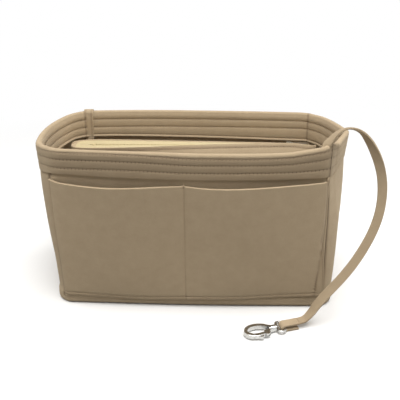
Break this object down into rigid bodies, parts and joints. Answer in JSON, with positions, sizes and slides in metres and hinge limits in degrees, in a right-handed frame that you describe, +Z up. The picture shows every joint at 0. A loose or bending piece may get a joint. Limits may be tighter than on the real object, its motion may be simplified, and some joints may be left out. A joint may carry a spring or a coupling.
{
  "type": "handbag organiser insert",
  "caption": "Open felt storage tub with a folded stitched rim band, front patch pockets, a loose zipped inner pouch and a key strap with a swivel snap hook.",
  "frame": {"origin": "middle of the base's underside", "axes": "+X to the right along the bag's length, +Y to the back, +Z up; the patch pocket faces -Y"},
  "size_m": [0.3164, 0.1766, 0.1819],
  "materials": {
    "felt": "matt pressed polyester felt, warm beige",
    "base_board": "stiff pressed fibre board wrapped in felt",
    "zip_tape": "cream woven polyester tape",
    "zip_teeth": "cream nylon coil and moulded stops",
    "plated_metal": "polished nickel plate on cast zinc",
    "steel": "plain drawn steel wire"
  },
  "bodies": {
    "tub": {"front_panel": "felt", "right_side_panel": "felt", "back_panel": "felt", "left_side_panel": "felt", "base_panel": "felt", "base_board": "base_board", "front_left_rim_band": "felt", "right_rim_band": "felt", "back_rim_band": "felt", "band_join_strip": "felt", "front_pocket": "felt", "key_strap": "felt", "strap_end_loop": "felt", "clasp_eye": "plated_metal"},
    "pouch": {"pouch_front": "felt", "pouch_back": "felt", "zip_tape_front": "zip_tape", "zip_tape_back": "zip_tape", "zip_teeth_front": "zip_teeth", "zip_teeth_back": "zip_teeth", "zip_top_stop_front": "zip_teeth", "zip_top_stop_back": "zip_teeth", "zip_bottom_stop": "zip_teeth"},
    "slider": {"zip_slider": "plated_metal"},
    "pull_tab": {"zip_pull": "plated_metal"},
    "snap_hook": {"clasp_hook": "plated_metal", "clasp_gate_pin": "steel"},
    "gate": {"clasp_gate": "plated_metal", "clasp_gate_spring": "steel"}
  },
  "joints": [
    {"name": "pouch_lift", "type": "slide", "parent": "tub", "child": "pouch", "axis": [0, 0, 1], "range_m": [0, 0.17]},
    {"name": "zip_travel", "type": "slide", "parent": "pouch", "child": "slider", "axis": [-1, 0, 0], "range_m": [0, 0.194]},
    {"name": "pull_swing", "type": "hinge", "parent": "slider", "child": "pull_tab", "pos_m": [0.0984, 0.033, 0.13935], "axis": [0, -1, 0], "range_deg": [0, 178]},
    {"name": "hook_swivel", "type": "hinge", "parent": "tub", "child": "snap_hook", "pos_m": [0.086, -0.092, 0.00391], "axis": [-0.9578, -0.2874, 0], "continuous": true},
    {"name": "gate_swing", "type": "hinge", "parent": "snap_hook", "child": "gate", "pos_m": [0.0701, -0.10199, 0.00391], "axis": [0, 0, -1], "range_deg": [0, 32], "stiffness_Nm_per_rad": 0.002, "springref_deg": -22.92}
  ]
}
